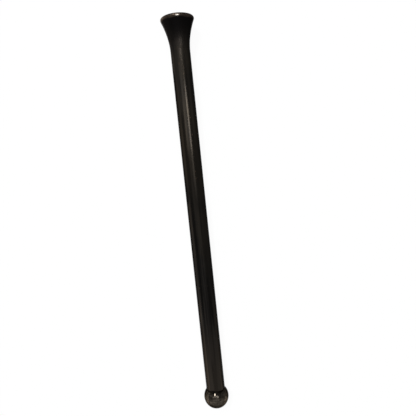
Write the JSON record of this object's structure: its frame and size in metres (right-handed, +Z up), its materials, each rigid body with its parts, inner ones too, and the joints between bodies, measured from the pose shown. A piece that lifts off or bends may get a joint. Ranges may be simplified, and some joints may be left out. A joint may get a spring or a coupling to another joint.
{
  "type": "engine pushrod",
  "caption": "Steel pushrod: a slim tube that opens in a trumpet-shaped cup for the rocker arm at one end and carries a pressed-in ball for the tappet at the other.",
  "frame": {"origin": "on the surface that the rod lies on, under the middle of its length", "axes": "+Y along the rod from the ball to the cup, level apart from the rod's lean of 0.55 degrees, +Z up from the surface, +X to the right when looking towards the cup"},
  "size_m": [0.0216, 0.2604, 0.0216],
  "materials": {
    "tube_steel": "steel tube, blackened and oiled, semi-gloss",
    "ball_steel": "hardened steel, blackened, ground smooth with a faint grain"
  },
  "bodies": {
    "root": {"push_tube": "tube_steel", "ball_end": "ball_steel"}
  },
  "joints": []
}
